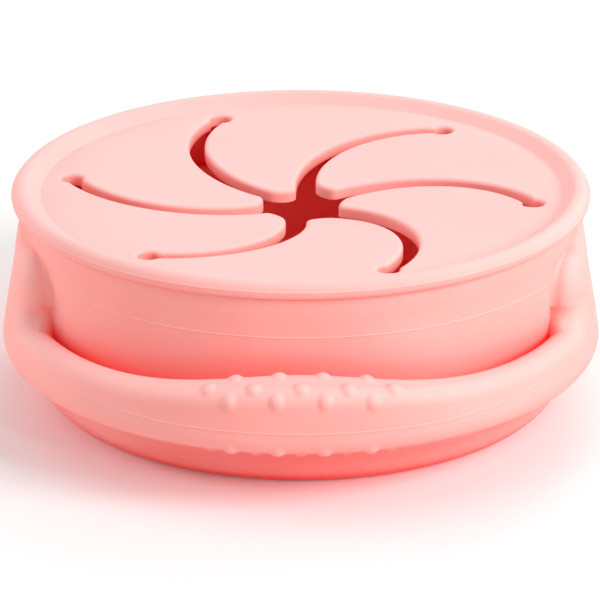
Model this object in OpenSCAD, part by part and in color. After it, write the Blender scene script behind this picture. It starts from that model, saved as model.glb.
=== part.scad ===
// Folding snack container for toddlers, all soft silicone, standing folded flat.
// A lid with six curved flaps snaps over the rim of a cup whose wall folds away.
// +Z is up, the cup stands on z = 0, and its two handles reach out along -Y and +Y.

/* [Lid] */
// Outer diameter of the lid, over its rounded bead
lid_d = 114; // [106:1:122]
// Height of the folded container, up to the top of the bead
folded_h = 43.5; // [42:0.5:48]
// Width of the bead, from its inner crease to the outside
bead_w = 5.4; // [5:0.1:6]
// Radius of the round on the outside of the bead
bead_round = 2.2; // [2:0.1:2.4]
// Height of the bead above the flat of the lid
bead_rise = 2; // [1.6:0.1:2.2]
// Thickness of the flat of the lid and of its flaps
disc_t = 2.4; // [2:0.1:2.6]
// Thickness of the lip that hangs outside the rim of the cup
lip_t = 1.5; // [1.2:0.1:1.7]
// Thickness of the ring that plugs the mouth of the cup
plug_t = 2; // [1.4:0.1:2.4]
// Depth of that ring below the flat of the lid
plug_h = 2.6; // [1.5:0.1:4]

/* [Flaps] */
// Radius at which the six slits end
slit_end_r = 46; // [43:0.5:47]
// Angle of the first slit's end, seen from above
slit_turn = -8.9; // [-30:0.1:30]
// Diameter of the round hole at the end of each slit
slit_hole_d = 4.3; // [3.6:0.1:4.8]
// Width of a slit at its outer end
slit_w_out = 2.6; // [1.8:0.1:3]
// Width of a slit where it opens into the middle
slit_w_in = 4; // [3:0.1:4.6]
// Radius at which a slit opens into the middle
mouth_r = 9; // [8.4:0.1:10]
// Angle through which a slit swirls from its end to the middle
swirl = 32.5; // [30:0.5:36]
// Rise of a slit's arc above its own chord
slit_bow = 8.7; // [7.8:0.1:9.4]
// How far the middle of the flaps droops below the flat of the lid
droop = 3.7; // [2:0.1:4.5]

/* [Cup] */
// Thickness of the wall that carries the handles
wall_t = 2.2; // [1.8:0.1:2.4]
// Step from the rim down to the slimmer wall
wall_step = 0.4; // [0.2:0.1:0.8]
// Height of the wall's lower edge above the table
wall_low_z = 12.6; // [12.2:0.1:14]
// Depth of the straight rim below the flat of the lid
rim_h = 5; // [4:0.5:7]
// Thickness of the folding band
fold_t = 1.8; // [1.4:0.1:2]
// Height of the folding band, half of the height that unfolding adds
fold_h = 16; // [12:0.5:17]
// Thickness of the bowl
bowl_t = 2; // [1.6:0.1:2.4]
// Radius of the flat that the bowl stands on
foot_r = 46; // [42:0.5:47]
// Radius of the bowl's lower edge, seen in section
foot_round = 6.7; // [5.5:0.1:6.8]
// Radius of the bowl's shoulder, seen in section
shoulder_round = 5.6; // [4.6:0.1:6]

/* [Handles] */
// Outer radius of a handle's bow
bow_r = 58.6; // [58:0.1:61]
// Room for fingers between the wall of the cup and a handle
finger_gap = 5.3; // [5:0.1:9]
// Height of a handle's lower edge above the table
strap_low = 13.2; // [13:0.1:14]
// Height of a handle's upper edge above the table
strap_top = 23.6; // [23:0.1:25]
// Radius of a handle's lower round, seen in section
low_round = 3.8; // [3.4:0.1:3.9]
// Radius of a handle's upper round, seen in section
top_round = 3.4; // [3:0.1:3.7]
// Distance from the centre of the cup to the line where a handle flexes
flex_y = 35; // [34:0.5:37]
// Half the width of the web that ties the handles to the rim
web_y = 27; // [25:0.5:28]
// Radius of the web's upper corners
web_round = 8; // [5:0.5:9]
// Radius of the concave corner between the web and the handle
window_round = 6; // [4:0.5:7]
// How far the web's upper edge stands proud of the rim
web_proud = 0.2; // [0.1:0.05:0.6]
// Depth of the web's upper edge below the flat of the lid
web_drop = 4.9; // [4:0.1:6]

/* [Grip] */
// Length of the swelling in the middle of a handle
grip_l = 62; // [50:1:66]
// Height of the swelling's top above the table
grip_top = 26.6; // [25.6:0.1:28]
// Width of the swelling, front to back
grip_t = 8.4; // [8:0.1:10]
// Radius of the swelling's long edges
grip_round = 3.2; // [2.6:0.1:3.6]
// How far the swelling stands proud of the handle's outer face
grip_proud = 0.3; // [0.1:0.05:0.6]
// Depth of the swelling's ends in the handle
grip_sink = 2; // [0.8:0.1:2.2]
// Diameter of a grip bump
bump_d = 3; // [2.4:0.1:3.4]
// Height of a grip bump above the handle
bump_rise = 0.7; // [0.5:0.1:1]
// Distance between grip bumps in a row
bump_pitch = 9; // [7:0.5:9.5]

/* [Clearances] */
// Gap between the lid and the rim it snaps over
snap_gap = 0.3; // [0.2:0.05:0.4]
// Gap between the nested walls
nest_gap = 0.6; // [0.4:0.05:0.8]
// Gap round the root of a flap
flap_gap = 0.3; // [0.25:0.05:0.4]
// Gap round the root of a handle
root_gap = 0.35; // [0.3:0.05:0.5]
// Room between the root of a handle and the wall beside it
side_gap = 1.1; // [1:0.1:1.4]

/* [Hidden] */

$fn = 96;

silicone = [0.96, 0.55, 0.51];
silicone_light = [0.99, 0.72, 0.68];
silicone_deep = [0.9, 0.36, 0.32];

flap_count = 6;
flap_angle = 360 / flap_count;
past = 1;
// Share of the bead's radius at which its inner slope runs in
bead_slope = 0.95;

lid_r = lid_d / 2;
disc_top = folded_h - bead_rise;
disc_low = disc_top - disc_t;
crease_r = lid_r - bead_w;
bead_x = lid_r - bead_round;
bead_z = folded_h - bead_round;
groove_r = lid_r - lip_t;
rim_r = groove_r - snap_gap;
rim_in_r = rim_r - wall_t;
rim_top = disc_top - 3 * snap_gap;
plug_r = rim_in_r - snap_gap;
plug_low = disc_low - plug_h;
flap_axis_r = slit_end_r * cos(flap_angle / 2);
flap_axis_z = disc_top - disc_t / 2;

wall_r = rim_r - wall_step;
wall_in_r = wall_r - wall_t;
fold_r = wall_in_r - nest_gap;
fold_low_z = wall_low_z + nest_gap;
bowl_r = fold_r - fold_t - nest_gap;
bowl_top = fold_low_z + fold_h;
bulge_r = foot_r + foot_round;

bow_reach = wall_r + finger_gap + 2 * low_round;
bow_y = bow_reach - bow_r;
web_top = disc_top - web_drop;
reach = 2 * lid_d;

// A point at a distance and an angle from the origin
function polar(r, a) = [r * cos(a), r * sin(a)];

// Flat faces lie this far inside the rounds that they meet
round_in = 0.05;

// Section of a handle: two rounds, touched by the outer face that leans in to the rim
strap_z = (strap_low + strap_top) / 2;
knuckle_r = (strap_top - strap_low) / 2;
low_c = [bow_r - low_round, strap_low + low_round];
web_edge = [rim_r + web_proud, web_top];
lean = atan2(web_edge.y - low_c.y, web_edge.x - low_c.x) - acos(low_round / norm(web_edge - low_c));
top_c = [
    low_c.x + (low_round - top_round - (strap_top - top_round - low_c.y) * sin(lean)) / cos(lean),
    strap_top - top_round
];

// The grip's middle line is a circle through its two ends, tilted up to its top
grip_mid = [bow_r + grip_proud - grip_t / 2, grip_top - grip_round];
grip_end = [sqrt(pow(top_c.x, 2) - pow(grip_l / 2, 2)), top_c.y - grip_sink];
grip_tilt = atan2(grip_mid.y - grip_end.y, grip_mid.x - grip_end.x);
grip_sag = norm(grip_mid - grip_end);
grip_r = (pow(grip_l / 2, 2) + pow(grip_sag, 2)) / (2 * grip_sag);
grip_half = asin(grip_l / 2 / grip_r);

// A point turned about the origin
function turned(p, a) = [p.x * cos(a) - p.y * sin(a), p.x * sin(a) + p.y * cos(a)];

// A cubic curve between two points with two handles
function curve(p, q, s, e, t) =
    pow(1 - t, 3) * p + 3 * pow(1 - t, 2) * t * q + 3 * (1 - t) * t * t * s + t * t * t * e;

// The slit's middle line is an arc from its end hole to the mouth
slit_start = polar(slit_end_r, 0);
slit_stop = polar(mouth_r, swirl);
slit_chord = slit_stop - slit_start;
slit_arc_r = (pow(norm(slit_chord) / 2, 2) + pow(slit_bow, 2)) / (2 * slit_bow);
slit_up = [slit_chord.y, -slit_chord.x] / norm(slit_chord);
slit_centre = (slit_start + slit_stop) / 2 - (slit_arc_r - slit_bow) * slit_up;
slit_a0 = atan2(slit_start.y - slit_centre.y, slit_start.x - slit_centre.x);
slit_a1 = atan2(slit_stop.y - slit_centre.y, slit_stop.x - slit_centre.x);
slit_steps = 18;
tip_steps = 10;
// Share of the tip's width that its round reaches towards the middle
tip_reach = 0.32;

// One side of a slit: side is 1 for the outside of its arc and -1 for the inside
function slit_edge(t, side) =
    slit_centre + polar(
        slit_arc_r + side * (slit_w_out + t * (slit_w_in - slit_w_out)) / 2,
        slit_a0 + t * (slit_a1 - slit_a0)
    );

// The way that the slit's side runs at the mouth
function slit_way(side) =
    let (d = slit_edge(1, side) - slit_edge(1 - 1 / slit_steps, side)) d / norm(d);

// Outline of one flap, from its first slit to the next
function flap_outline() =
    let (
        near = slit_edge(1, 1),
        far = turned(slit_edge(1, -1), flap_angle),
        out = tip_reach * norm(far - near)
    ) concat(
        [for (i = [0:slit_steps]) slit_edge(i / slit_steps, 1)],
        [for (i = [1:tip_steps - 1])
            curve(near, near + out * slit_way(1), far + out * turned(slit_way(-1), flap_angle),
                far, i / tip_steps)],
        [for (i = [slit_steps:-1:0]) turned(slit_edge(i / slit_steps, -1), flap_angle)]
    );

// How far the flaps droop at a distance from the middle
function droop_at(r) = droop * pow(max(0, 1 - r / slit_end_r), 1.4);
droop_steps = 6;

// Closed sheet in section, following the droop of the flaps
module droop_section() {
    stations = [for (i = [0:droop_steps]) i / droop_steps * slit_end_r];
    polygon(concat(
        [for (r = stations) [r, disc_top - droop_at(r)]],
        [[slit_end_r + past, disc_top], [slit_end_r + past, disc_low]],
        [for (i = [droop_steps:-1:0]) [stations[i], disc_low - droop_at(stations[i])]]
    ));
}

// Turns its children to the first slit, with the flap's number counted round
module at_flap(k) {
    rotate([0, 0, slit_turn + k * flap_angle]) children();
}

// Where the slit's outside edge leaves the chord between two slit ends
chord_gap = flap_axis_r - slit_centre * polar(1, flap_angle / 2);
root_from = slit_centre * polar(1, flap_angle / 2 + 90)
    + sqrt(pow(slit_arc_r + slit_w_out / 2, 2) - pow(chord_gap, 2)) + 2 * flap_gap;
root_to = (slit_end_r - slit_hole_d) / 2 - flap_gap;

// A bar along the chord where a flap bends
module flap_bar(grow, from, to) {
    rotate([0, 0, flap_angle / 2]) translate([flap_axis_r, to, flap_axis_z])
        rotate([90, 0, 0]) cylinder(r = disc_t / 2 + grow, h = to - from);
}

// One slit with its round end, cut right through
module slit_cut() {
    linear_extrude(height = reach) {
        polygon(concat(
            [for (i = [0:slit_steps]) slit_edge(i / slit_steps, 1)],
            [for (i = [slit_steps:-1:0]) slit_edge(i / slit_steps, -1)]
        ));
        translate([slit_end_r, 0]) circle(d = slit_hole_d);
    }
}

module flap(k) {
    color(silicone_light) at_flap(k) {
        intersection() {
            linear_extrude(height = folded_h) polygon(flap_outline());
            rotate_extrude() droop_section();
            rotate([0, 0, flap_angle / 2])
                translate([flap_axis_r - reach, -lid_r, 0]) cube([reach, lid_d, folded_h]);
        }
        flap_bar(0, root_from, root_to);
    }
}

// Section of the lid: flat, plug ring, slope up from the crease, round bead and the groove for the rim
module lid_section() {
    difference() {
        union() {
            polygon([
                [0, disc_low],
                [plug_r - plug_t, disc_low],
                [plug_r - plug_t, plug_low],
                [bead_x, plug_low],
                [bead_x, bead_z],
                [bead_x, bead_z] + polar(bead_slope * bead_round, 120),
                [crease_r, disc_top],
                [0, disc_top]
            ]);
            translate([bead_x, bead_z]) circle(r = bead_round);
        }
        translate([plug_r, plug_low - past])
            square([groove_r - plug_r, rim_top + snap_gap - plug_low + past]);
    }
}

module lid_rim() {
    color(silicone_light) difference() {
        rotate_extrude() lid_section();
        rotate([0, 0, slit_turn]) cylinder(r = slit_end_r, h = reach, $fn = flap_count);
        for (k = [0:flap_count - 1]) at_flap(k) {
            slit_cut();
            flap_bar(flap_gap, root_from - 5 * flap_gap, slit_end_r / 2);
        }
    }
}

// Section of the bowl, drawn in by inset on every side
module bowl_section(inset, top) {
    translate([0, inset]) square([foot_r, foot_round]);
    translate([foot_r, foot_round]) circle(r = foot_round - inset);
    translate([bulge_r - shoulder_round, foot_round]) circle(r = shoulder_round - inset);
    translate([0, foot_round]) square([bowl_r - inset, top - foot_round]);
}

module bowl() {
    color(silicone) rotate_extrude() intersection() {
        difference() {
            bowl_section(0, bowl_top);
            bowl_section(bowl_t, bowl_top + past);
        }
        square([lid_r, bowl_top]);
    }
}

module fold_wall() {
    color(silicone_deep) rotate_extrude() {
        translate([fold_r - fold_t, fold_low_z + fold_t / 2]) square([fold_t, fold_h - fold_t]);
        for (z = [fold_low_z + fold_t / 2, fold_low_z + fold_h - fold_t / 2])
            translate([fold_r - fold_t / 2, z]) circle(r = fold_t / 2);
    }
}

// Wall of the cup with its rim, in section
module wall_section() {
    polygon([
        [wall_in_r, wall_low_z + wall_t / 2],
        [wall_r, wall_low_z + wall_t / 2],
        [wall_r, web_top - rim_h],
        [rim_r, disc_top - rim_h],
        [rim_r, rim_top - wall_t / 2],
        [rim_in_r, rim_top - wall_t / 2],
        [rim_in_r, disc_top - rim_h],
        [wall_in_r, web_top - rim_h]
    ]);
    translate([wall_r - wall_t / 2, wall_low_z + wall_t / 2]) circle(d = wall_t);
    translate([rim_r - wall_t / 2, rim_top - wall_t / 2]) circle(d = wall_t);
}

// Section of a handle, at its distance from the middle of the bow
module strap_section() {
    polygon([
        low_c + polar(low_round - round_in, lean), top_c + polar(top_round - round_in, lean),
        top_c - [top_round - round_in, 0], low_c - [low_round - round_in, 0]
    ]);
    translate(low_c) circle(r = low_round);
    translate(top_c) circle(r = top_round);
}

// Section of the web: the handle's outer face drawn up to the rim
module web_section() {
    strap_section();
    polygon([
        [rim_in_r, strap_z], [low_c.x, strap_z], low_c + polar(low_round - round_in, lean),
        web_edge, [rim_in_r, web_top]
    ]);
}

// Sweeps a section round one bow, from a line across the cup outwards
module bow(way, from_y) {
    end = asin((from_y - bow_y) / low_c.x);
    rotate([0, 0, way > 0 ? 0 : 180]) translate([0, bow_y, 0])
        rotate([0, 0, end]) rotate_extrude(angle = 180 - 2 * end) children();
}

// Side view of the web and the handles' roots, as a plate across the cup
module web_outline() {
    rotate([90, 0, 90]) linear_extrude(height = reach, center = true) {
        translate([-web_y, 0]) square([2 * web_y, web_top - web_round]);
        translate([-(web_y - web_round), 0]) square([2 * (web_y - web_round), web_top]);
        for (y = [-1, 1]) translate([y * (web_y - web_round), web_top - web_round])
            circle(r = web_round);
        difference() {
            square([2 * (web_y + window_round), 2 * (strap_top + window_round)], center = true);
            for (y = [-1, 1]) translate([y * (web_y + window_round), strap_top + window_round])
                circle(r = window_round);
        }
    }
}

// Space that the web may fill: it leaves the wall under the bead and spreads downwards
module web_space() {
    rotate_extrude() polygon([
        [0, 0], [bow_reach, 0], [bow_reach, strap_top], web_edge, [0, web_top]
    ]);
}

module webs() {
    difference() {
        intersection() {
            union() {
                for (way = [-1, 1]) bow(way, bow_y) web_section();
                for (side = [0, 180]) rotate([0, 0, side]) rotate([90, 0, 0])
                    linear_extrude(height = 2 * bow_y, center = true) web_section();
            }
            web_outline();
            web_space();
        }
        cylinder(r = wall_in_r + wall_t / 2, h = reach);
        for (way = [-1, 1]) knuckle(way, knuckle_r + root_gap);
    }
}

// Round root of a handle, lying across the cup
module knuckle(way, r) {
    translate([0, way * flex_y, strap_z]) rotate([0, 90, 0])
        cylinder(r = r, h = 2 * reach, center = true);
}

module cup_wall() {
    color(silicone) {
        rotate_extrude() wall_section();
        webs();
    }
}

// Moves its children from the grip's tilted plane to the bow, with the grip's middle on +Y
module at_grip() {
    translate([0, grip_mid.x, grip_mid.y]) rotate([grip_tilt, 0, 0]) translate([0, -grip_r, 0])
        children();
}

// Section of the grip: two rounds side by side and a body that narrows down into the handle
module grip_section() {
    side = grip_t / 2 - grip_round;
    foot = top_round - grip_proud;
    translate([grip_r, 0]) rotate(-grip_tilt) {
        for (x = [-side, side]) translate([x, 0]) circle(r = grip_round);
        polygon([
            [-side, grip_round - round_in], [side, grip_round - round_in], [grip_t / 2 - round_in, 0],
            [foot, -grip_round], [-foot, -grip_round], [round_in - grip_t / 2, 0]
        ]);
    }
}

// A bump that stands on a round: turned along the handle, then out at an angle to its middle
module bump(along, out, round_r, angle) {
    rotate([0, 0, 90 + along]) translate([out, 0, 0]) rotate([0, -angle, 0])
        translate([round_r + bump_rise - bump_d / 2, 0, 0]) sphere(d = bump_d, $fn = 24);
}

// Rows of bumps: each holds its place on the section, its angle and its count
module grip_bumps() {
    side = grip_t / 2 - grip_round;
    out = side * polar(1, -grip_tilt);
    for (row = [[1, 20, 4], [1, 72, 5], [-1, 105, 4]]) for (i = [0:row[2] - 1])
        at_grip() translate([0, 0, row[0] * out.y])
            bump((i - (row[2] - 1) / 2) * bump_pitch / grip_r * 180 / PI,
                grip_r + row[0] * out.x, grip_round, row[1] - grip_tilt);
    for (row = [[-25, 4], [-70, 5], [-115, 4]]) for (i = [0:row[1] - 1])
        translate([0, 0, low_c.y])
            bump((i - (row[1] - 1) / 2) * bump_pitch / low_c.x * 180 / PI, low_c.x, low_round, row[0]);
}

module grip() {
    at_grip() rotate([0, 0, 90 - grip_half]) rotate_extrude(angle = 2 * grip_half) grip_section();
    grip_bumps();
}

module handle(way) {
    color(silicone_light) {
        difference() {
            intersection() {
                bow(way, bow_y) strap_section();
                union() {
                    knuckle(way, knuckle_r);
                    translate([-reach, way > 0 ? flex_y : -flex_y - reach, 0])
                        cube([2 * reach, reach, folded_h]);
                }
            }
            cylinder(r = wall_r + side_gap, h = reach);
        }
        rotate([0, 0, way > 0 ? 0 : 180]) translate([0, bow_y, 0]) grip();
    }
}

module front_handle() { handle(-1); }
module rear_handle() { handle(1); }
module flap_1() { flap(0); }
module flap_2() { flap(1); }
module flap_3() { flap(2); }
module flap_4() { flap(3); }
module flap_5() { flap(4); }
module flap_6() { flap(5); }

bowl();
fold_wall();
cup_wall();
front_handle();
rear_handle();
lid_rim();
flap_1();
flap_2();
flap_3();
flap_4();
flap_5();
flap_6();
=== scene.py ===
# Folding snack container of soft silicone: looks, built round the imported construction
import math

import bmesh
import bpy
from mathutils import Matrix, Vector
from mathutils.kdtree import KDTree


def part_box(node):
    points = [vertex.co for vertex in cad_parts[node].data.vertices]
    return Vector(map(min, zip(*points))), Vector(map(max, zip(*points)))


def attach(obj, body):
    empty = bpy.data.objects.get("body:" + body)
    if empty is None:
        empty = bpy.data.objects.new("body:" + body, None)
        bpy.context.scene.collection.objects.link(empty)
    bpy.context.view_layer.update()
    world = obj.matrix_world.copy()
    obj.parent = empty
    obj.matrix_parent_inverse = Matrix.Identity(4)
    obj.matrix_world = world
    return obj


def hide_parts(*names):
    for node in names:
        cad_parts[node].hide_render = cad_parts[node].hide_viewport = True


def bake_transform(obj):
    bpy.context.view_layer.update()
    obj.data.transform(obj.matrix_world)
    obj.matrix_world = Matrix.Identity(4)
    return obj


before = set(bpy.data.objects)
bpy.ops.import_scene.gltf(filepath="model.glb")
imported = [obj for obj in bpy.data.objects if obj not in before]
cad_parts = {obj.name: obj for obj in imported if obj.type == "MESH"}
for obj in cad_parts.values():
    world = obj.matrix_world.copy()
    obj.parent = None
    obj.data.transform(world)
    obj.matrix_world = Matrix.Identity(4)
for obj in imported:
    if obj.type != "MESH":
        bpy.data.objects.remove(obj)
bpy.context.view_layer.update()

MM = 0.001

# Heights and radii of the construction, read from its nodes at rest
LID_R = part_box("lid_rim")[1].x
LID_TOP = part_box("lid_rim")[1].z
PLUG_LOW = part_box("lid_rim")[0].z
WALL_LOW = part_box("cup_wall")[0].z
RIM_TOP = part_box("cup_wall")[1].z
BOWL_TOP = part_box("bowl")[1].z
BULGE_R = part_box("bowl")[1].x
FOLD_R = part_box("fold_wall")[1].x
BOW_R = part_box("cup_wall")[1].x
STRAP_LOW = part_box("front_handle")[0].z

# Fine lines that the mould leaves
LINE_W = 0.16 * MM
LINE_RISE = 0.1 * MM

# Lid
BEAD_ROUND = 2.2 * MM
BEAD_RISE = 2.0 * MM
BEAD_SLOPE = 37
LIP_T = 1.5 * MM
PLUG_T = 2.0 * MM
DISC_T = 2.4 * MM
SNAP_GAP = 0.3 * MM
DISC_TOP = LID_TOP - BEAD_RISE
DISC_LOW = DISC_TOP - DISC_T
BEAD_X = LID_R - BEAD_ROUND
BEAD_Z = LID_TOP - BEAD_ROUND
LIP_ROUND = 1.5 * MM
LIP_Z = DISC_TOP + 0.1 * MM
GROOVE_R = LID_R - LIP_T
GROOVE_TOP = RIM_TOP + SNAP_GAP
WALL_T = 2.2 * MM
RIM_R = GROOVE_R - SNAP_GAP
RIM_IN_R = RIM_R - WALL_T
PLUG_R = RIM_IN_R - SNAP_GAP
CREASE_FILLET = 1.0 * MM
# Height of the bead's mould line, as an angle above the horizontal
BEAD_LINE_AT = 14.5

# Flaps
FLAPS = 6
FLAP_TURN = math.radians(-8.9)
FLAP_ANGLE = 2 * math.pi / FLAPS
SLIT_END_R = 46 * MM
SLIT_HOLE_R = 2.15 * MM
SLIT_W_OUT = 2.6 * MM
SLIT_W_IN = 4.0 * MM
MOUTH_R = 9.0 * MM
SWIRL = math.radians(32.5)
SLIT_BOW = 8.7 * MM
DROOP = 3.7 * MM
DROOP_POWER = 1.4
TIP_REACH = 0.32
# How far the tip of each flap has curled up or down from the common droop
TIP_LIFTS = (2.2 * MM, 0, 0.5 * MM, 0, -0.8 * MM, 1.1 * MM)
LIFT_POWER = 3
SLIT_EDGE_ROUND = 0.85 * MM

# Mesh of a flap
HOLE_STEPS = 12
SLIT_STEPS = 40
TIP_STEPS = 24
BORDER_STEPS = 16
SEARCH_STEPS = 400
FACE_INSET = 0.25 * MM
SLICE = 2.5 * MM
SLICE_FIRST = (2.0 * MM, 1.15 * MM)
MERGE = 0.05 * MM

# Cup
WALL_STEP = 0.4 * MM
WALL_R = RIM_R - WALL_STEP
WALL_IN_R = WALL_R - WALL_T
WALL_MID_R = WALL_R - WALL_T / 2
WALL_FOOT = WALL_LOW + 1.8 * MM
FOOT_TAPER = 2 * MM
FOOT_SINK = 0.05 * MM
RIM_LOW = DISC_TOP - 5 * MM
RIM_FLARE = 2 * MM
FOLD_T = 1.8 * MM
NEST_GAP = 0.6 * MM
BOWL_R = FOLD_R - FOLD_T - NEST_GAP
BOWL_T = 2.0 * MM
BOWL_EDGE = BOWL_TOP - 1.5 * MM
FOOT_ROUND = 6.7 * MM
FOOT_R = BULGE_R - FOOT_ROUND
SHOULDER_ROUND = 5.6 * MM
WALL_LINE_Z = DISC_TOP - 9.5 * MM
# Rows of faces up the leg of the fold, so that the turns at its ends stay crisp as it unfolds
LEG_STEPS = 24

# Handles
BOW_REACH = 67.7 * MM
BOW_Y = BOW_REACH - BOW_R
LOW_ROUND = 3.8 * MM
TOP_ROUND = 3.4 * MM
LEAN = math.radians(9.42)
# Middle and half length of the stretch in which a handle bends
HALF_PATH = BOW_R * math.pi / 2 + BOW_Y
STRAP_TOP_Z = 19.8 * MM
GRIP_HALF = 27 * MM
GRIP_RISE = 3.4 * MM
NOSE_Y = 27 * MM
NOSE_ROUND = 6.0 * MM
NOSE_T = 6.0 * MM
NOSE_OUT = 1.9 * MM
NOSE_FILLET = 1.0 * MM
NOSE_FOOT = 2.9 * MM
WINDOW_ROUND = 4 * MM
WEB_CORNER = 6.6 * MM
WEB_CORNER_TOP = 34.5 * MM
WEB_TOP = 39.4 * MM
# Level share of a web's top beside its corner, and length from the window over which its end melts away
WEB_CLIMB = 0.1
WEB_MELT = 0.55
WEB_FILLET = 3.6 * MM
WEB_SINK = 0.4 * MM
WEB_EDGE_ROUND = 2.5 * MM
WEB_DEPTH = 9.5 * MM
WEB_INNER_ROUND = 1 * MM
# The mould line of a handle climbs towards the webs, from this far beside the middle
HANDLE_LINE_Z = 18 * MM
HANDLE_LINE_CLIMB = 2.3 * MM
HANDLE_LINE_FROM = 26 * MM
HANDLE_LINE_SPAN = 30 * MM

# Grip
GRIP_ROUND = 3.2 * MM
GRIP_OUTER_T = 2.9 * MM
GRIP_INNER_T = 6.0 * MM
GRIP_INNER_RISE = 0.6 * MM
BUMP_PITCH = 9 * MM
BUMP_R = 1.95 * MM
BUMP_RISE = 0.6 * MM
BUMP_FILLET = 0.15 * MM
BUMP_REACH = 1.2 * BUMP_R
# Rows of bumps round the grip: angle above the horizontal and count
BUMP_ROWS = ((20, 4), (72, 5), (105, 4), (-50, 4), (-90, 5), (-130, 4))

# Red light bounces from wall to wall inside the cup many times before it fades
BOUNCES = 20

# Silicone, with light and shade painted into its colours: painted light paler on faces that look up and
# deeper on its sides and underside, painted shade in creases and painted red bounce light inside the
# closed cup
PAINTED_FACING_LIGHT = [(0.0, (0.98, 0.37, 0.335)), (0.5, (0.98, 0.37, 0.335)), (0.7, (0.98, 0.42, 0.38)),
         (0.97, (0.985, 0.52, 0.49))]
PAINTED_CREASE_SHADE = (0.97, 0.09, 0.07)
PAINTED_BOUNCE_RED = (0.97, 0.012, 0.010)
# Reach of the painted shade in creases and of the painted red bounce light inside the cup
CREASE_SHADE_REACH = 8 * MM
BOUNCE_RED_REACH = 60 * MM
SHADE_AO_SAMPLES = 4
CLOUD_SCALE = 45.0
GRAIN_SCALE = 1400.0
GRAIN_DEPTH = 0.04 * MM

# Mesh of a handle
STRAP_STEPS = 200
CORNER_STEPS = 12
TOP_STEPS = 20
ROUND_STEPS = 18
FLAT_STEPS = 8
FACE_STEPS = 16
BACK_STEPS = 6
# Place on a web where its corner ends. Places count from 0 on the strap, over 1 at the end of the
# window between strap and cup, to 2 at the middle of the web
CORNER_END = 1.2
# How far a curve goes on straight at its ends, as a share of the round that it makes
ROUND_PULL = 0.55
MELT_PULL = 1.35
WALL_PULL = 1.3
# Share of a nose's curve that is its round
NOSE_SHARE = 0.7


def new_piece(name, bm, material=None, sharp=40):
    """An object of its own from a finished bmesh, with its place in its mesh."""
    mesh = bpy.data.meshes.new(name)
    bm.to_mesh(mesh)
    bm.free()
    mesh.polygons.foreach_set("use_smooth", [True] * len(mesh.polygons))
    mesh.set_sharp_from_angle(angle=math.radians(sharp))
    piece = bpy.data.objects.new(name, mesh)
    bpy.context.scene.collection.objects.link(piece)
    if material is not None:
        mesh.materials.append(material)
    return piece


def arc(centre, radius, start, stop, steps):
    """Points of an arc in section, from one angle to another in degrees."""
    angles = [math.radians(start + (stop - start) * i / steps) for i in range(steps + 1)]
    return [(centre[0] + radius * math.cos(a), centre[1] + radius * math.sin(a)) for a in angles]


def lathe(section, steps=192):
    """Closed ring spun from a closed section of (radius, height) points."""
    bm = bmesh.new()
    verts = [bm.verts.new((r, 0, z)) for r, z in section]
    edges = [bm.edges.new((verts[i], verts[(i + 1) % len(verts)])) for i in range(len(verts))]
    bmesh.ops.spin(
        bm, geom=verts + edges, cent=(0, 0, 0), axis=(0, 0, 1), dvec=(0, 0, 0),
        angle=2 * math.pi, steps=steps, use_merge=True,
    )
    bmesh.ops.remove_doubles(bm, verts=bm.verts, dist=1e-6)
    bmesh.ops.recalc_face_normals(bm, faces=bm.faces)
    return bm


def mix(a, b, share):
    """The value at a share of the way from a to b."""
    return a + (b - a) * share


def node_at(tree, kind, **inputs):
    """A shader node with some of its sockets set."""
    node = tree.nodes.new(kind)
    for socket, value in inputs.items():
        node.inputs[socket.replace("_", " ")].default_value = value
    return node


def colour_ramp(tree, stops):
    """A colour ramp with stops of place and colour."""
    ramp = tree.nodes.new("ShaderNodeValToRGB")
    while len(ramp.color_ramp.elements) < len(stops):
        ramp.color_ramp.elements.new(0.5)
    for element, (place, colour) in zip(ramp.color_ramp.elements, stops):
        element.position = place
        element.color = (*colour, 1)
    return ramp


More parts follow.
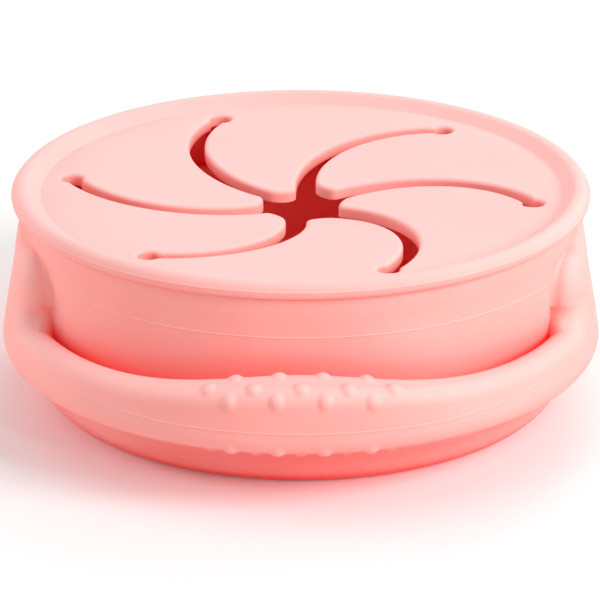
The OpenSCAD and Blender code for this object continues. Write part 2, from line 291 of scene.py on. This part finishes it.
def silicone(name):
    """Soft moulded silicone with painted light and shade: painted light makes it pale on top and
    stronger on its sides, and painted shade makes it deep red where it folds in.
    """
    mat = bpy.data.materials.new(name)
    mat.use_nodes = True
    tree = mat.node_tree
    links = tree.links
    bsdf = tree.nodes["Principled BSDF"]
    bsdf.inputs["IOR"].default_value = 1.41
    bsdf.inputs["Specular IOR Level"].default_value = 0.35
    bsdf.inputs["Sheen Weight"].default_value = 0.06
    bsdf.inputs["Sheen Roughness"].default_value = 0.4
    place = tree.nodes.new("ShaderNodeTexCoord")

    # Painted light: paler on faces that look up, deeper on the sides and underside
    way = tree.nodes.new("ShaderNodeSeparateXYZ")
    links.new(place.outputs["Normal"], way.inputs["Vector"])
    facing = node_at(tree, "ShaderNodeMapRange", From_Min=-1.0, From_Max=1.0)
    links.new(way.outputs["Z"], facing.inputs["Value"])
    facing_light_ramp = colour_ramp(tree, PAINTED_FACING_LIGHT)
    links.new(facing.outputs["Result"], facing_light_ramp.inputs["Fac"])

    # Slow drift of the pigment
    cloud = node_at(tree, "ShaderNodeTexNoise", Scale=CLOUD_SCALE, Detail=3.0)
    links.new(place.outputs["Object"], cloud.inputs["Vector"])
    drift = node_at(tree, "ShaderNodeMapRange", From_Min=0.3, From_Max=0.7, To_Min=0.97, To_Max=1.03)
    links.new(cloud.outputs["Fac"], drift.inputs["Value"])
    tone = node_at(tree, "ShaderNodeHueSaturation")
    links.new(drift.outputs["Result"], tone.inputs["Saturation"])
    links.new(facing_light_ramp.outputs["Color"], tone.inputs["Color"])

    # Painted shade: deep red in folds, slits and corners, where the ambient occlusion is low
    crease_shade_ao = node_at(tree, "ShaderNodeAmbientOcclusion", Distance=CREASE_SHADE_REACH)
    crease_shade_ao.samples = SHADE_AO_SAMPLES
    depth = node_at(tree, "ShaderNodeMapRange", From_Min=0.0, From_Max=0.55)
    links.new(crease_shade_ao.outputs["AO"], depth.inputs["Value"])
    shade = tree.nodes.new("ShaderNodeMix")
    shade.data_type = "RGBA"
    shade.inputs[6].default_value = (*PAINTED_CREASE_SHADE, 1)
    links.new(depth.outputs["Result"], shade.inputs[0])
    links.new(tone.outputs["Color"], shade.inputs[7])

    # Painted bounce light and shade: pure red inside the closed cup, where the light has bounced many
    # times
    bounce_red_ao = node_at(tree, "ShaderNodeAmbientOcclusion", Distance=BOUNCE_RED_REACH)
    bounce_red_ao.samples = SHADE_AO_SAMPLES
    bounce_red_share = node_at(tree, "ShaderNodeMapRange", From_Min=0.1, From_Max=0.22)
    links.new(bounce_red_ao.outputs["AO"], bounce_red_share.inputs["Value"])
    inside = tree.nodes.new("ShaderNodeMix")
    inside.data_type = "RGBA"
    inside.inputs[6].default_value = (*PAINTED_BOUNCE_RED, 1)
    links.new(bounce_red_share.outputs["Result"], inside.inputs[0])
    links.new(shade.outputs[2], inside.inputs[7])
    links.new(inside.outputs[2], bsdf.inputs["Base Color"])

    # Fine satin grain of the mould
    grain = node_at(tree, "ShaderNodeTexNoise", Scale=GRAIN_SCALE, Detail=2.0)
    links.new(place.outputs["Object"], grain.inputs["Vector"])
    rough = node_at(tree, "ShaderNodeMapRange", From_Min=0.3, From_Max=0.7, To_Min=0.6, To_Max=0.74)
    links.new(grain.outputs["Fac"], rough.inputs["Value"])
    links.new(rough.outputs["Result"], bsdf.inputs["Roughness"])
    bump = node_at(tree, "ShaderNodeBump", Strength=0.25, Distance=GRAIN_DEPTH)
    links.new(grain.outputs["Fac"], bump.inputs["Height"])
    links.new(bump.outputs["Normal"], bsdf.inputs["Normal"])
    return mat


CUP = silicone("silicone_cup")
LID = silicone("silicone_lid")


def make_bead():
    """Border of the lid: slope up from the crease, round bead, groove for the rim and plug ring.

    Returns the radius at which the flat of the lid begins."""
    slope = math.radians(BEAD_SLOPE)
    crest_x = BEAD_X - BEAD_ROUND * math.sin(slope)
    crest_z = BEAD_Z + BEAD_ROUND * math.cos(slope)
    crease_x = crest_x - (crest_z - DISC_TOP) / math.tan(slope)
    tangent = CREASE_FILLET * math.tan(slope / 2)
    fillet = arc((crease_x - tangent, DISC_TOP + CREASE_FILLET), CREASE_FILLET, -90, BEAD_SLOPE - 90, 5)
    line = math.degrees(LINE_W / BEAD_ROUND)
    upper = arc((BEAD_X, BEAD_Z), BEAD_ROUND, 90 + BEAD_SLOPE, BEAD_LINE_AT + line, 16)
    ridge = arc(
        (BEAD_X, BEAD_Z), BEAD_ROUND + LINE_RISE, BEAD_LINE_AT + line / 3, BEAD_LINE_AT - line / 3, 1
    )
    lower = arc((LID_R - LIP_ROUND, LIP_Z), LIP_ROUND, 5, -90, 10)
    groove = [(GROOVE_R, GROOVE_TOP), (PLUG_R, GROOVE_TOP)]
    plug = arc((PLUG_R - PLUG_T / 2, PLUG_LOW + PLUG_T / 2), PLUG_T / 2, 0, -180, 10)
    border_r = crease_x - tangent
    under = DISC_LOW + DISC_T / 4
    inner = [(PLUG_R - PLUG_T, under), (border_r, under)]
    piece = new_piece("lid_bead", lathe(fillet + upper + ridge + lower + groove + plug + inner), LID)
    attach(piece, "lid")
    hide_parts("lid_rim")
    return border_r


def slit_shape():
    """Middle, radius and end angles of the arc that a slit follows."""
    start = Vector((SLIT_END_R, 0))
    stop = Vector((MOUTH_R * math.cos(SWIRL), MOUTH_R * math.sin(SWIRL)))
    chord = stop - start
    radius = ((chord.length / 2) ** 2 + SLIT_BOW**2) / (2 * SLIT_BOW)
    up = Vector((chord.y, -chord.x)).normalized()
    middle = (start + stop) / 2 - (radius - SLIT_BOW) * up
    return middle, radius, math.atan2(*(start - middle).yx), math.atan2(*(stop - middle).yx)


SLIT_MIDDLE, SLIT_ARC_R, SLIT_A0, SLIT_A1 = slit_shape()


def slit_edge(t, side):
    """A point on one side of a slit, from its end hole at 0 to the mouth at 1."""
    angle = mix(SLIT_A0, SLIT_A1, t)
    radius = SLIT_ARC_R + side * mix(SLIT_W_OUT, SLIT_W_IN, t) / 2
    return SLIT_MIDDLE + radius * Vector((math.cos(angle), math.sin(angle)))


def turned(point, angle):
    """A flat point turned round the middle of the lid."""
    return Matrix.Rotation(angle, 2) @ point


def curve_point(start, pull, push, stop, t):
    """A point of the curve from start to stop that leaves towards pull and arrives from push."""
    back = 1 - t
    return back**3 * start + 3 * back**2 * t * pull + 3 * back * t**2 * push + t**3 * stop


def hole_arc(side):
    """Half of a slit's end hole, from the radial seam round to the slit's side, and where it meets that.

    The point before the corner is left out, so that the round of the edge has room there."""
    centre = Vector((SLIT_END_R, 0))
    meet = next(
        i / SEARCH_STEPS for i in range(SEARCH_STEPS)
        if (slit_edge(i / SEARCH_STEPS, side) - centre).length > SLIT_HOLE_R
    )
    last = slit_edge(meet, side) - centre
    stop = math.atan2(last.y, last.x)
    if side * stop < 0:
        stop += side * 2 * math.pi
    angles = [stop * i / HOLE_STEPS for i in (*range(HOLE_STEPS - 1), HOLE_STEPS)]
    return [centre + SLIT_HOLE_R * Vector((math.cos(a), math.sin(a))) for a in angles], meet


def petal_outline(border_r):
    """Outline of a flap: its sides, which are rounded, and its share of the lid's border."""
    near_hole, near_t = hole_arc(1)
    far_hole, far_t = hole_arc(-1)
    shares = [i / SLIT_STEPS for i in range(1, SLIT_STEPS + 1)]
    near = [slit_edge(mix(near_t, 1, share), 1) for share in shares]
    far = [turned(slit_edge(mix(far_t, 1, share), -1), FLAP_ANGLE) for share in shares]
    near_way = (near[-1] - near[-2]).normalized()
    far_way = (far[-1] - far[-2]).normalized()
    out = TIP_REACH * (far[-1] - near[-1]).length
    tip = [
        curve_point(near[-1], near[-1] + out * near_way, far[-1] + out * far_way, far[-1], i / TIP_STEPS)
        for i in range(1, TIP_STEPS)
    ]
    rounded = near_hole + near + tip + far[::-1] + [turned(p, FLAP_ANGLE) for p in far_hole[::-1]]
    border = [
        border_r * Vector((math.cos(a), math.sin(a)))
        for a in (FLAP_ANGLE * i / BORDER_STEPS for i in range(BORDER_STEPS, -1, -1))
    ]
    return rounded, border


def slice_up(bm, normal, first, last):
    """Cuts a mesh by parallel planes, so that it can droop and bend."""
    place = first
    while place < last:
        bmesh.ops.bisect_plane(
            bm, geom=bm.verts[:] + bm.edges[:] + bm.faces[:], plane_co=normal * place, plane_no=normal,
        )
        place += SLICE


def make_petal(k, border_r):
    """One sixth of the lid's flat, with its flap, rounded along the slits and drooping."""
    rounded, border = petal_outline(border_r)
    bm = bmesh.new()
    verts = [bm.verts.new((p.x, p.y, 0)) for p in rounded + border]
    face = bm.faces.new(verts)
    soft = [bm.edges.get((verts[i], verts[i + 1])) for i in range(len(rounded) - 1)]
    extruded = bmesh.ops.extrude_face_region(bm, geom=[face])
    below = [v for v in extruded["geom"] if isinstance(v, bmesh.types.BMVert)]
    bmesh.ops.translate(bm, verts=below, vec=(0, 0, -DISC_T))
    bmesh.ops.bevel(
        bm, geom=soft, offset=SLIT_EDGE_ROUND, offset_type="OFFSET", affect="EDGES",
        segments=6, profile=0.5, material=-1, clamp_overlap=False,
    )
    bmesh.ops.recalc_face_normals(bm, faces=bm.faces)
    tops = [f for f in bm.faces if f.normal.z > 0.999 and len(f.verts) > SLIT_STEPS]
    bmesh.ops.inset_region(bm, faces=tops, thickness=FACE_INSET, use_even_offset=True)
    bmesh.ops.triangulate(bm, faces=[f for f in bm.faces if len(f.verts) > 4])
    slice_up(bm, Vector((1, 0, 0)), SLICE_FIRST[0], border_r)
    slice_up(bm, Vector((0, 1, 0)), SLICE_FIRST[1], border_r)
    bmesh.ops.remove_doubles(bm, verts=bm.verts, dist=MERGE)
    for vert in bm.verts:
        inward = max(0, 1 - math.hypot(vert.co.x, vert.co.y) / SLIT_END_R)
        vert.co.z += DISC_TOP - DROOP * inward**DROOP_POWER + TIP_LIFTS[k] * inward**LIFT_POWER
    bmesh.ops.rotate(
        bm, verts=bm.verts, cent=(0, 0, 0), matrix=Matrix.Rotation(FLAP_TURN + k * FLAP_ANGLE, 3, "Z")
    )
    piece = new_piece(f"lid_flap_{k + 1}", bm, LID)
    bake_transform(piece)
    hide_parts(f"flap_{k + 1}")


def make_cup_wall():
    """Upright wall with its rim and the fine line that the mould leaves round it.

    Its foot narrows to the thickness of the folding band, which goes on from there."""
    full = WALL_FOOT + FOOT_TAPER
    half = FOLD_T / 2 - FOOT_SINK
    outside = [
        (WALL_MID_R + half, WALL_FOOT), (WALL_R, full),
        (WALL_R, WALL_LINE_Z - LINE_W), (WALL_R + LINE_RISE, WALL_LINE_Z - LINE_W / 3),
        (WALL_R + LINE_RISE, WALL_LINE_Z + LINE_W / 3), (WALL_R, WALL_LINE_Z + LINE_W),
        (WALL_R, RIM_LOW - RIM_FLARE), (mix(WALL_R, RIM_R, 0.3), RIM_LOW - RIM_FLARE / 2),
        (RIM_R, RIM_LOW + RIM_FLARE / 4),
    ]
    top = arc((RIM_R - WALL_T / 2, RIM_TOP - WALL_T / 2), WALL_T / 2, 0, 180, 12)
    inside = [
        (RIM_IN_R, RIM_LOW), (WALL_IN_R, RIM_LOW - RIM_FLARE),
        (WALL_IN_R, full), (WALL_MID_R - half, WALL_FOOT),
    ]
    piece = new_piece("cup_side", lathe(outside + top + inside), CUP)
    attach(piece, "cup_wall")
    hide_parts("cup_wall")


def make_fold():
    """Folding band: from the foot of the wall, round and up, then over into the bowl."""
    half = FOLD_T / 2
    band_r = FOLD_R - half
    low_r = (WALL_MID_R - band_r) / 2
    low_c = (band_r + low_r, WALL_LOW + low_r + half)
    bowl_mid_r = BOWL_R - BOWL_T / 2
    top_r = (band_r - bowl_mid_r) / 2
    top_c = (bowl_mid_r + top_r, BOWL_TOP - top_r)
    leg = [mix(low_c[1], top_c[1], i / LEG_STEPS) for i in range(1, LEG_STEPS)]
    section = [(WALL_MID_R + half, low_c[1] + half)]
    section += arc(low_c, low_r + half, 0, -180, 16)
    section += [(band_r - half, z) for z in leg]
    section += arc(top_c, top_r - half, 0, 180, 8)
    section += [(bowl_mid_r + half, top_c[1] - half), (bowl_mid_r - half, top_c[1] - half)]
    section += arc(top_c, top_r + half, 180, 0, 16)
    section += [(band_r + half, z) for z in leg[::-1]]
    section += arc(low_c, low_r - half, -180, 0, 8)
    section += [(WALL_MID_R - half, low_c[1] + half)]
    piece = new_piece("folding_band", lathe(section), CUP)
    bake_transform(piece)
    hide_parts("fold_wall")


def make_bowl():
    """Bowl with a round lower edge, standing on its flat."""
    bulge = (FOOT_R, FOOT_ROUND)
    shoulder = (BULGE_R - SHOULDER_ROUND, FOOT_ROUND)
    neck = math.degrees(math.acos((BOWL_R - shoulder[0]) / SHOULDER_ROUND))
    inner_neck = math.degrees(math.acos((BOWL_R - BOWL_T - shoulder[0]) / (SHOULDER_ROUND - BOWL_T)))
    section = [(0, 0), (FOOT_R * 0.5, 0)]
    section += arc(bulge, FOOT_ROUND, -90, 0, 14)
    section += arc(shoulder, SHOULDER_ROUND, 0, neck, 10)[1:]
    section += [(BOWL_R, BOWL_EDGE), (BOWL_R - BOWL_T, BOWL_EDGE)]
    section += arc(shoulder, SHOULDER_ROUND - BOWL_T, inner_neck, 0, 8)
    section += arc(bulge, FOOT_ROUND - BOWL_T, 0, -90, 12)[1:]
    section += [(FOOT_R * 0.5, BOWL_T), (0, BOWL_T)]
    piece = new_piece("bowl_shell", lathe(section), CUP)
    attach(piece, "bowl")
    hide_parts("bowl")


def bow_turn(s):
    """Angle round the bow and length past its end, at a length along a handle's outer path."""
    quarter = BOW_R * math.pi / 2
    angle = min(max(s, -quarter), quarter) / BOW_R
    return angle, abs(s - angle * BOW_R)


def wall_depth(s):
    """Depth of the cup's wall behind a handle's outer path."""
    angle, straight = bow_turn(s)
    back = BOW_Y - straight
    return BOW_R + back * math.cos(angle) - math.sqrt(WALL_R**2 - (back * math.sin(angle)) ** 2)


def bow_point(s, t, z, way):
    """A point at a length along a handle's outer path, a depth inside it and a height."""
    angle, straight = bow_turn(s)
    x = (BOW_R - t) * math.sin(angle)
    y = BOW_Y + (BOW_R - t) * math.cos(angle) - straight
    return Vector((way * x, way * y, z))


def face_depth(z):
    """Depth of a handle's leaning outer face at a height."""
    tangent_z = STRAP_LOW + LOW_ROUND * (1 + math.sin(LEAN))
    return LOW_ROUND * (1 - math.cos(LEAN)) + (z - tangent_z) * math.tan(LEAN)


def strap_edge(s):
    """Top edge of the strap at a length along it, and how much of the grip's form is there."""
    grip = math.exp(-((s / GRIP_HALF) ** 2))
    return Vector((s, STRAP_TOP_Z + TOP_ROUND + GRIP_RISE * grip)), grip


def handle_stations():
    """Sections of half a handle, from the middle of the grip to the middle of the web.

    Each has the place and way of its upper edge, its share of the grip, its place on the web and
    its foot's length along the handle."""
    nose_s = BOW_R * math.acos((NOSE_Y - BOW_Y) / BOW_R)
    window = Vector((nose_s - WINDOW_ROUND, STRAP_TOP_Z + TOP_ROUND + WINDOW_ROUND))
    corner = Vector((nose_s + WEB_CORNER, WEB_CORNER_TOP - WEB_CORNER))
    stations = []
    for i in range(STRAP_STEPS + 1):
        edge, grip = strap_edge(window.x * i / STRAP_STEPS)
        stations.append((edge, Vector((0, 1)), grip, 0.0))
    for share in (i / CORNER_STEPS for i in range(1, CORNER_STEPS + 1)):
        a = math.radians(mix(-90, 0, share))
        out = Vector((math.cos(a), math.sin(a)))
        stations.append((window + WINDOW_ROUND * out, -out, 0.0, share))
    for share in (i / CORNER_STEPS for i in range(CORNER_STEPS + 1)):
        a = math.radians(mix(180, 90, share))
        out = Vector((math.cos(a), math.sin(a)))
        stations.append((corner + WEB_CORNER * out, out, 0.0, mix(1, CORNER_END, share)))
    for share in (i / TOP_STEPS for i in range(1, TOP_STEPS + 1)):
        climb = max(0, (share - WEB_CLIMB) / (1 - WEB_CLIMB))
        z = mix(WEB_CORNER_TOP, WEB_TOP, climb**2 * (3 - 2 * climb))
        edge = Vector((mix(corner.x, HALF_PATH, share), z))
        stations.append((edge, out, 0.0, mix(CORNER_END, 2, share)))
    lengths = [0.0]
    for before, after in zip(stations, stations[1:]):
        lengths.append(lengths[-1] + (after[0] - before[0]).length)
    strap_length = lengths[STRAP_STEPS]
    feet = [station[0].x for station in stations[:STRAP_STEPS + 1]]
    feet += [
        mix(window.x, HALF_PATH, (length - strap_length) / (lengths[-1] - strap_length))
        for length in lengths[STRAP_STEPS + 1:]
    ]
    return [(*station, foot) for station, foot in zip(stations, feet)]


def edge_rounds(edge, out, grip, web):
    """Radius, middle and depth of both rounds along a handle's upper edge, and its outer face's lean."""
    rise = min(web, 1)
    strap = mix(TOP_ROUND, GRIP_ROUND, grip)
    outer = mix(strap, mix(NOSE_ROUND, WEB_EDGE_ROUND, max(0, web - 1)), rise)
    inner = mix(strap, WEB_INNER_ROUND, rise)
    spine = edge - outer * out
    lean = LEAN * out.y * (1 - grip)
    depth = face_depth(spine.y + outer * math.sin(lean) * out.y)
    outer_t = mix(depth + outer * math.cos(lean), GRIP_OUTER_T, grip)
    inner_t = mix(mix(outer_t, GRIP_INNER_T, grip), WEB_DEPTH - inner, rise)
    inner_spine = edge - inner * out + Vector((0, GRIP_INNER_RISE * grip))
    return (outer, spine, outer_t), (inner, inner_spine, inner_t), math.degrees(lean)


def wall_point(place):
    """A point just under the face of the cup's wall, at a length along a handle and a height."""
    return Vector((place.x, wall_depth(place.x) + WEB_SINK, place.y))


def upper_edge(high, edge, out, rounds, web):
    """Upper edge of a handle: two rounds on the strap, and on a web a curve that meets the wall."""
    (outer, spine, outer_t), (inner, inner_spine, inner_t), lean = rounds
    strap = []
    for i in range(ROUND_STEPS + 1):
        a = math.radians(mix(lean, 90, i / ROUND_STEPS))
        sz = spine + outer * math.sin(a) * out
        strap.append(Vector((sz.x, outer_t - outer * math.cos(a), sz.y)))
    over = inner_spine + inner * out
    flat_end = Vector((over.x, inner_t, over.y))
    strap += [strap[-1].lerp(flat_end, i / FLAT_STEPS) for i in range(1, FLAT_STEPS)]
    for i in range(ROUND_STEPS + 1):
        a = math.radians(90 + 90 * i / ROUND_STEPS)
        sz = inner_spine + inner * math.sin(a) * out
        strap.append(Vector((sz.x, inner_t - inner * math.cos(a), sz.y)))
    along = Vector((out.x, 0, out.y))
    steps = len(strap) - 1
    turn = round(NOSE_SHARE * steps)

    # End of a web beside the window: one large round, then a narrow flat and a tight corner at the wall
    brink = Vector((edge.x, NOSE_T, edge.y)) + NOSE_OUT * along
    wall = wall_point(edge + (NOSE_FOOT + NOSE_FILLET) * out)
    pull = high + ROUND_PULL * (outer + NOSE_OUT) * along
    push = brink.lerp(Vector((brink.x, high.y, brink.z)), ROUND_PULL)
    nose = [curve_point(high, pull, push, brink, i / turn) for i in range(turn + 1)]
    pull = brink + Vector((0, (wall.y - brink.y) / 2, 0))
    push = wall - WALL_PULL * NOSE_FILLET * along
    nose += [
        curve_point(brink, pull, push, wall, i / (steps - turn)) for i in range(1, steps - turn + 1)
    ]

    # Top of a web: melts upwards into the wall
    wall = wall_point(edge + WEB_FILLET * out)
    pull = high + MELT_PULL * outer * along
    push = wall - WALL_PULL * WEB_FILLET * along
    melt = [curve_point(high, pull, push, wall, i / steps) for i in range(steps + 1)]
    top = min(1, max(0, web - 1) / WEB_MELT)
    top = top**2 * (3 - 2 * top)
    return [
        on_strap.lerp(on_nose.lerp(on_top, top), min(web, 1))
        for on_strap, on_nose, on_top in zip(strap, nose, melt)
    ]


def handle_section(edge, out, grip, web, foot):
    """Closed section of a handle as (length, depth, height) points."""
    rounds = edge_rounds(edge, out, grip, web)
    (outer, spine, outer_t), _, lean = rounds
    points = []
    for a in range(180, 361, 5):
        points.append((foot, LOW_ROUND - LOW_ROUND * math.cos(math.radians(a)),
                       STRAP_LOW + LOW_ROUND + LOW_ROUND * math.sin(math.radians(a))))
    side = abs(BOW_R * math.sin(min(foot / BOW_R, math.pi / 2)))
    climb = max(0, (side - HANDLE_LINE_FROM) / HANDLE_LINE_SPAN)
    line_z = HANDLE_LINE_Z + HANDLE_LINE_CLIMB * climb**1.5
    low = Vector((foot, LOW_ROUND * (1 - math.cos(LEAN)), STRAP_LOW + LOW_ROUND * (1 + math.sin(LEAN))))
    a = math.radians(lean)
    high_sz = spine + outer * math.sin(a) * out
    high = Vector((high_sz.x, outer_t - outer * math.cos(a), high_sz.y))
    at_line = (line_z - low.z) / (high.z - low.z)
    band = LINE_W / (high.z - low.z)
    for share, proud in ((0, 0), (at_line - band, 0), (at_line - band / 3, 1), (at_line + band / 3, 1),
                         (at_line + band, 0)):
        points.append(low.lerp(high, share) - Vector((0, LINE_RISE * proud, 0)))
    for i in range(1, FACE_STEPS):
        points.append(low.lerp(high, mix(at_line + band, 1, i / FACE_STEPS)))
    points += upper_edge(high, edge, out, rounds, web)
    first = Vector(points[0])
    last = Vector(points[-1])
    points += [last.lerp(first, i / BACK_STEPS) for i in range(1, BACK_STEPS)]
    return points


def bump_places(way):
    """Place and outward way of each bump round the grip of a handle."""
    for angle, count in BUMP_ROWS:
        for i in range(count):
            s = (i - (count - 1) / 2) * BUMP_PITCH
            edge, grip = strap_edge(s)
            outer, inner, _ = edge_rounds(edge, Vector((0, 1)), grip, 0)
            low = (LOW_ROUND, Vector((s, STRAP_LOW + LOW_ROUND)), LOW_ROUND)
            radius, spine, depth = low if angle < 0 else outer if angle < 90 else inner
            a = math.radians(angle)
            t = depth - radius * math.cos(a)
            z = spine.y + radius * math.sin(a)
            place = bow_point(s, t, z, way)
            outward = (bow_point(s, t - 1 * MM, z, way) - place).normalized()
            yield place, outward * math.cos(a) + Vector((0, 0, math.sin(a)))


def raise_bumps(bm, way):
    """Raises the round bumps of the grip, each with a soft foot."""
    tree = KDTree(len(bm.verts))
    verts = list(bm.verts)
    for i, vert in enumerate(verts):
        tree.insert(vert.co, i)
    tree.balance()
    for place, outward in bump_places(way):
        for _, i, _ in tree.find_range(place, BUMP_REACH):
            offset = verts[i].co - place
            along = offset.dot(outward)
            across = offset.length_squared - along**2
            cap = math.sqrt(max(0, BUMP_R**2 - across)) - (BUMP_R - BUMP_RISE) - along
            verts[i].co += outward * (cap + math.hypot(cap, BUMP_FILLET)) / 2


def make_handle(name, body, way):
    """Bow handle with the halves of both webs that carry it, swept along its path."""
    half = [handle_section(*station) for station in handle_stations()]
    mirrored = [[(-p[0], p[1], p[2]) for p in section] for section in half[:0:-1]]
    sections = mirrored + half
    rows = len(sections[0])
    bm = bmesh.new()
    bmesh.ops.create_grid(bm, x_segments=len(sections) - 1, y_segments=rows, size=0.5)
    for vert in bm.verts:
        i = round((vert.co.x + 0.5) * (len(sections) - 1))
        j = round((vert.co.y + 0.5) * rows) % rows
        vert.co = bow_point(*sections[i][j], way)
        r = math.hypot(vert.co.x, vert.co.y)
        if r < WALL_MID_R:  # nothing of a handle comes through the wall
            vert.co.xy *= WALL_MID_R / r
    bmesh.ops.remove_doubles(bm, verts=bm.verts, dist=1e-7)
    raise_bumps(bm, way)
    bmesh.ops.holes_fill(bm, edges=[e for e in bm.edges if e.is_boundary], sides=0)
    bmesh.ops.recalc_face_normals(bm, faces=bm.faces)
    piece = new_piece(name, bm, CUP)
    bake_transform(piece)
    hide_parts(body)


def camera():
    """Camera at the photograph's place, with the lid's middle where the photograph has it."""
    image_px = 600
    focal_px = 4563.7
    lid_px = (300.88, 189.74)
    distance = 0.9
    elevation = math.radians(20.095)
    cam = bpy.data.cameras.new("camera")
    cam.sensor_width = 36
    cam.lens = focal_px / image_px * cam.sensor_width
    cam.shift_x = (image_px / 2 - lid_px[0]) / image_px
    cam.shift_y = -(image_px / 2 - lid_px[1]) / image_px
    cam.clip_start = 0.01
    obj = bpy.data.objects.new("camera", cam)
    bpy.context.scene.collection.objects.link(obj)
    obj.location = (0, -distance * math.cos(elevation), DISC_TOP + distance * math.sin(elevation))
    obj.rotation_euler = (math.pi / 2 - elevation, 0, 0)
    bpy.context.scene.camera = obj


def floor():
    """Pale floor that keeps the shadow, with a faint glow that makes it white to the camera."""
    glow = 0.06
    bm = bmesh.new()
    bmesh.ops.create_grid(bm, x_segments=1, y_segments=1, size=3)
    piece = new_piece("floor", bm)
    mat = bpy.data.materials.new("floor")
    mat.use_nodes = True
    nodes = mat.node_tree.nodes
    links = mat.node_tree.links
    bsdf = nodes["Principled BSDF"]
    bsdf.inputs["Base Color"].default_value = (0.86, 0.86, 0.86, 1)
    bsdf.inputs["Roughness"].default_value = 0.9
    bsdf.inputs["Specular IOR Level"].default_value = 0.1
    path = nodes.new("ShaderNodeLightPath")
    seen = nodes.new("ShaderNodeMath")
    seen.operation = "MULTIPLY"
    seen.inputs[1].default_value = glow
    links.new(path.outputs["Is Camera Ray"], seen.inputs[0])
    bsdf.inputs["Emission Color"].default_value = (1, 1, 1, 1)
    links.new(seen.outputs["Value"], bsdf.inputs["Emission Strength"])
    piece.data.materials.append(mat)


def soft_lamp(name, place, size, energy):
    """A square soft lamp that looks at the container."""
    aim = Vector((0, 0, 0.02))
    lamp = bpy.data.lights.new(name, "AREA")
    lamp.size = size
    lamp.energy = energy
    obj = bpy.data.objects.new(name, lamp)
    obj.location = place
    obj.rotation_euler = (aim - obj.location).to_track_quat("-Z", "Y").to_euler()
    bpy.context.scene.collection.objects.link(obj)


def lights():
    """Soft daylight all round, a large soft lamp at the right and weaker ones left and behind."""
    world = bpy.data.worlds.new("world")
    world.use_nodes = True
    bpy.context.scene.world = world
    background = world.node_tree.nodes["Background"]
    background.inputs["Color"].default_value = (1, 1, 1, 1)
    background.inputs["Strength"].default_value = 0.64
    soft_lamp("lamp_right", (0.75, -0.45, 0.5), 0.5, 8.5)
    soft_lamp("lamp_left", (-0.85, 0.3, 0.22), 0.4, 3)
    soft_lamp("lamp_back", (0.15, 0.7, 0.6), 0.4, 2)


bpy.context.scene.cycles.diffuse_bounces = BOUNCES
bpy.context.scene.cycles.max_bounces = BOUNCES
camera()
floor()
lights()
bpy.context.scene.view_settings.view_transform = "Standard"
# The solids wear the silicone of the pieces that replace them
for name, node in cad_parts.items():
    node.data.materials.clear()
    node.data.materials.append(LID if name.startswith(("lid", "flap")) else CUP)
disc_border = make_bead()
for k in range(FLAPS):
    make_petal(k, disc_border)
make_cup_wall()
make_fold()
make_bowl()
make_handle("handle_front", "front_handle", -1)
make_handle("handle_rear", "rear_handle", 1)
